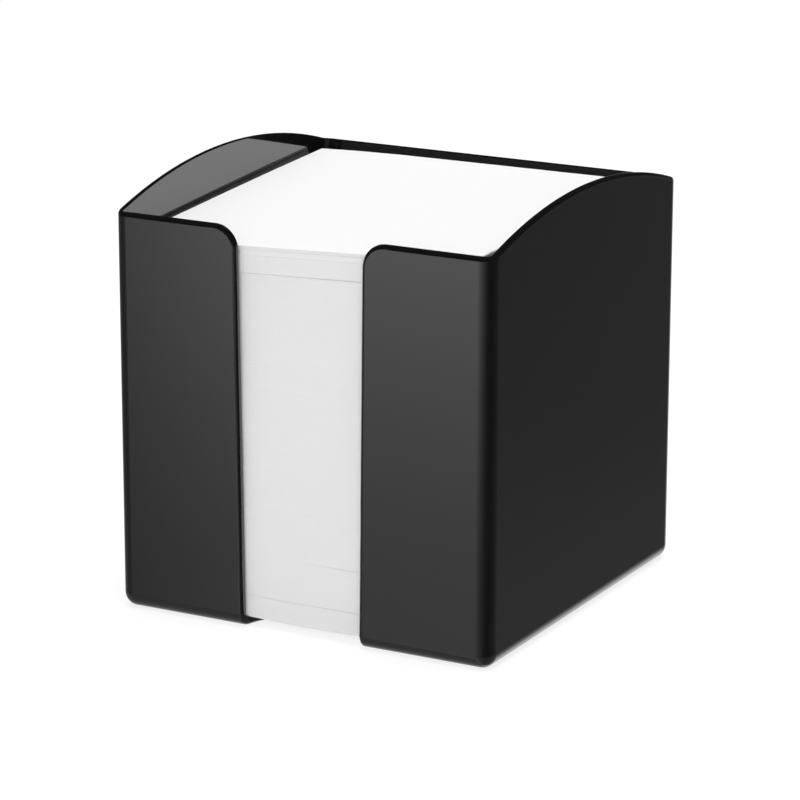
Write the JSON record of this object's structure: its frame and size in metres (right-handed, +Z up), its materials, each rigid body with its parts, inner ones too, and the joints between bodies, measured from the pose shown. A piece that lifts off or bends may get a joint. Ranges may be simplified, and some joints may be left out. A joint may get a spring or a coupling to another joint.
{
  "type": "note box",
  "caption": "Square desk box of black plastic, open at the top, with arched sides and a front thumb slot, holding a full refill of loose white notes.",
  "frame": {"origin": "middle of the underside, on the surface the box stands on", "axes": "+Z up, -Y out through the front wall with the thumb slot, +X to the right seen from the front"},
  "size_m": [0.1, 0.1, 0.105],
  "materials": {
    "black_plastic": "polished injection-moulded polystyrene",
    "white_paper": "matt uncoated note paper with cut edges"
  },
  "bodies": {
    "note_box": {"note_box": "black_plastic"},
    "note_bundle_01": {"note_bundle_01": "white_paper"},
    "note_bundle_02": {"note_bundle_02": "white_paper"},
    "note_bundle_03": {"note_bundle_03": "white_paper"},
    "note_bundle_04": {"note_bundle_04": "white_paper"},
    "note_bundle_05": {"note_bundle_05": "white_paper"},
    "note_bundle_06": {"note_bundle_06": "white_paper"},
    "note_bundle_07": {"note_bundle_07": "white_paper"},
    "note_bundle_08": {"note_bundle_08": "white_paper"},
    "note_bundle_09": {"note_bundle_09": "white_paper"},
    "note_bundle_10": {"note_bundle_10": "white_paper"},
    "note_bundle_11": {"note_bundle_11": "white_paper"},
    "note_bundle_12": {"note_bundle_12": "white_paper"},
    "loose_note_1": {"loose_note_1": "white_paper"},
    "loose_note_2": {"loose_note_2": "white_paper"},
    "loose_note_3": {"loose_note_3": "white_paper"},
    "loose_note_4": {"loose_note_4": "white_paper"},
    "loose_note_5": {"loose_note_5": "white_paper"},
    "loose_note_6": {"loose_note_6": "white_paper"},
    "loose_note_7": {"loose_note_7": "white_paper"}
  },
  "joints": [
    {"name": "note_bundle_01_lift", "type": "slide", "parent": "note_box", "child": "note_bundle_01", "axis": [0, 0, 1], "range_m": [0, 0.107]},
    {"name": "note_bundle_02_lift", "type": "slide", "parent": "note_bundle_01", "child": "note_bundle_02", "axis": [0, 0, 1], "range_m": [0, 0.102]},
    {"name": "note_bundle_03_lift", "type": "slide", "parent": "note_bundle_02", "child": "note_bundle_03", "axis": [0, 0, 1], "range_m": [0, 0.092]},
    {"name": "note_bundle_04_lift", "type": "slide", "parent": "note_bundle_03", "child": "note_bundle_04", "axis": [0, 0, 1], "range_m": [0, 0.082]},
    {"name": "note_bundle_05_lift", "type": "slide", "parent": "note_bundle_04", "child": "note_bundle_05", "axis": [0, 0, 1], "range_m": [0, 0.081]},
    {"name": "note_bundle_06_lift", "type": "slide", "parent": "note_bundle_05", "child": "note_bundle_06", "axis": [0, 0, 1], "range_m": [0, 0.072]},
    {"name": "note_bundle_07_lift", "type": "slide", "parent": "note_bundle_06", "child": "note_bundle_07", "axis": [0, 0, 1], "range_m": [0, 0.07]},
    {"name": "note_bundle_08_lift", "type": "slide", "parent": "note_bundle_07", "child": "note_bundle_08", "axis": [0, 0, 1], "range_m": [0, 0.067]},
    {"name": "note_bundle_09_lift", "type": "slide", "parent": "note_bundle_08", "child": "note_bundle_09", "axis": [0, 0, 1], "range_m": [0, 0.052]},
    {"name": "note_bundle_10_lift", "type": "slide", "parent": "note_bundle_09", "child": "note_bundle_10", "axis": [0, 0, 1], "range_m": [0, 0.045]},
    {"name": "note_bundle_11_lift", "type": "slide", "parent": "note_bundle_10", "child": "note_bundle_11", "axis": [0, 0, 1], "range_m": [0, 0.023]},
    {"name": "note_bundle_12_lift", "type": "slide", "parent": "note_bundle_11", "child": "note_bundle_12", "axis": [0, 0, 1], "range_m": [0, 0.019]},
    {"name": "loose_note_1_lift", "type": "slide", "parent": "note_bundle_12", "child": "loose_note_1", "axis": [0, 0, 1], "range_m": [0, 0.017]},
    {"name": "loose_note_2_lift", "type": "slide", "parent": "loose_note_1", "child": "loose_note_2", "axis": [0, 0, 1], "range_m": [0, 0.017]},
    {"name": "loose_note_3_lift", "type": "slide", "parent": "loose_note_2", "child": "loose_note_3", "axis": [0, 0, 1], "range_m": [0, 0.017]},
    {"name": "loose_note_4_lift", "type": "slide", "parent": "loose_note_3", "child": "loose_note_4", "axis": [0, 0, 1], "range_m": [0, 0.017]},
    {"name": "loose_note_5_lift", "type": "slide", "parent": "loose_note_4", "child": "loose_note_5", "axis": [0, 0, 1], "range_m": [0, 0.017]},
    {"name": "loose_note_6_lift", "type": "slide", "parent": "loose_note_5", "child": "loose_note_6", "axis": [0, 0, 1], "range_m": [0, 0.017]},
    {"name": "loose_note_7_lift", "type": "slide", "parent": "loose_note_6", "child": "loose_note_7", "axis": [0, 0, 1], "range_m": [0, 0.017]}
  ]
}
